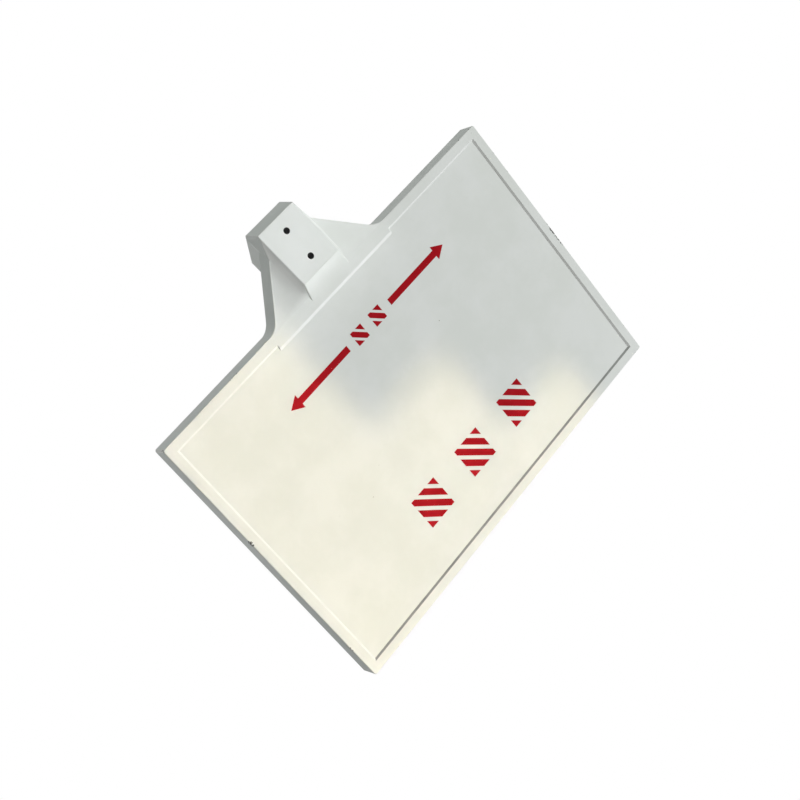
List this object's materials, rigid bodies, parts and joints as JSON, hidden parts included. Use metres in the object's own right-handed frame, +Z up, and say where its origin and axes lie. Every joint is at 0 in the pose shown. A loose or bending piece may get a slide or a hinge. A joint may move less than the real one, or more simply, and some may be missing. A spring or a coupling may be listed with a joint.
{
  "type": "warning marker sign board",
  "caption": "White moulded marker board with a raised rim, a tapered neck and a bolt-on block that grips the top of a square post",
  "frame": {"origin": "midway between the two bolt holes, on the face that seats against the front of the post", "axes": "X across the board, Y from the printed face to the back, Z up along the post"},
  "size_m": [0.6, 0.1075, 0.5004],
  "materials": {
    "moulding": "semi-gloss gel coat on glass-fibre reinforced polyester"
  },
  "bodies": {
    "root": {"sign_body": "moulding"}
  },
  "joints": []
}
